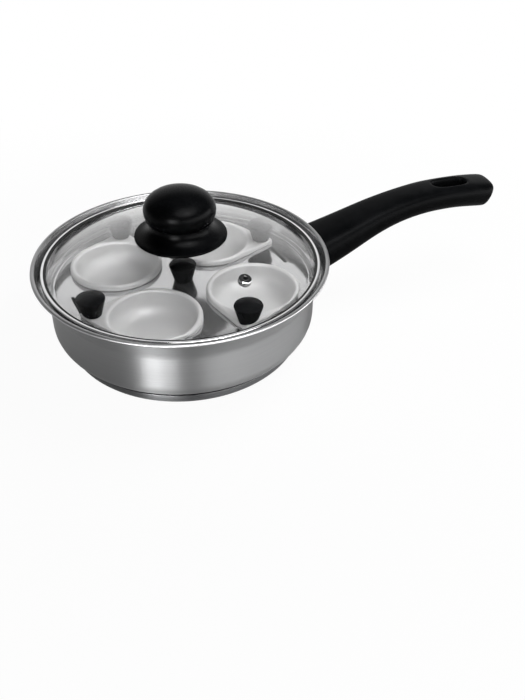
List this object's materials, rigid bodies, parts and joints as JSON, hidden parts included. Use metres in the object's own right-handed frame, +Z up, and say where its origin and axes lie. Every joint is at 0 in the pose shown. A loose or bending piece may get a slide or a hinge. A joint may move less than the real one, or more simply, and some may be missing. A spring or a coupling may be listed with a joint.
{
  "type": "egg poacher pan",
  "caption": "Stainless pan with a long moulded handle, a slotted tray of dished lift-out egg cups with knobs, and a domed glass lid with a knob and steam vent.",
  "frame": {"origin": "middle of the underside of the capsule base, on the surface that the pan stands on", "axes": "+Z up, +X along the handle away from the pan, +Y to the left of someone who holds the handle and looks at the pan's back"},
  "size_m": [0.3748, 0.2102, 0.1181],
  "materials": {
    "steel_satin": "stainless steel, satin brushed round the pan",
    "steel_polished": "stainless steel, polished with a slight haze",
    "steel_fastener": "plain stainless steel",
    "aluminium_core": "bare pressed aluminium",
    "cup_coating": "aluminium with a pale grey matt non-stick coating",
    "phenolic_black": "black phenolic moulding, semi-gloss",
    "lid_glass": "clear tempered glass",
    "silicone_black": "black silicone rubber",
    "brass_insert": "plain turned brass"
  },
  "bodies": {
    "pan": {"pan_body": "steel_satin", "base_core": "aluminium_core", "base_cap": "steel_satin", "handle_bracket": "steel_satin", "handle": "phenolic_black", "handle_screw": "steel_fastener"},
    "tray_unit": {"tray": "steel_polished", "tray_knob": "phenolic_black", "tray_knob_screw": "steel_fastener"},
    "cup_unit_1": {"cup_1": "cup_coating", "cup_knob_1": "phenolic_black", "cup_knob_screw_1": "steel_fastener"},
    "cup_unit_2": {"cup_2": "cup_coating", "cup_knob_2": "phenolic_black", "cup_knob_screw_2": "steel_fastener"},
    "cup_unit_3": {"cup_3": "cup_coating", "cup_knob_3": "phenolic_black", "cup_knob_screw_3": "steel_fastener"},
    "cup_unit_4": {"cup_4": "cup_coating", "cup_knob_4": "phenolic_black", "cup_knob_screw_4": "steel_fastener"},
    "lid": {"lid_glass": "lid_glass", "lid_gasket": "silicone_black", "lid_band": "steel_polished", "vent_eyelet": "steel_polished", "lid_knob_skirt": "phenolic_black", "lid_knob": "phenolic_black", "lid_knob_insert": "brass_insert", "lid_knob_seal": "silicone_black", "lid_knob_washer": "steel_fastener", "lid_knob_screw": "steel_fastener"}
  },
  "joints": [
    {"name": "tray_lift", "type": "slide", "parent": "pan", "child": "tray_unit", "axis": [0, 0, 1], "range_m": [0, 0.075]},
    {"name": "lid_lift", "type": "slide", "parent": "tray_unit", "child": "lid", "axis": [0, 0, 1], "range_m": [0, 0.12]},
    {"name": "cup_1_lift", "type": "slide", "parent": "tray_unit", "child": "cup_unit_1", "axis": [0, 0, 1], "range_m": [0, 0.045]},
    {"name": "cup_2_lift", "type": "slide", "parent": "tray_unit", "child": "cup_unit_2", "axis": [0, 0, 1], "range_m": [0, 0.045]},
    {"name": "cup_3_lift", "type": "slide", "parent": "tray_unit", "child": "cup_unit_3", "axis": [0, 0, 1], "range_m": [0, 0.045]},
    {"name": "cup_4_lift", "type": "slide", "parent": "tray_unit", "child": "cup_unit_4", "axis": [0, 0, 1], "range_m": [0, 0.045]}
  ],
  "couplings": [
    {"joint": "cup_1_lift", "follows": "lid_lift", "ratio": 0.375},
    {"joint": "cup_2_lift", "follows": "lid_lift", "ratio": 0.375},
    {"joint": "cup_3_lift", "follows": "lid_lift", "ratio": 0.375},
    {"joint": "cup_4_lift", "follows": "lid_lift", "ratio": 0.375}
  ]
}
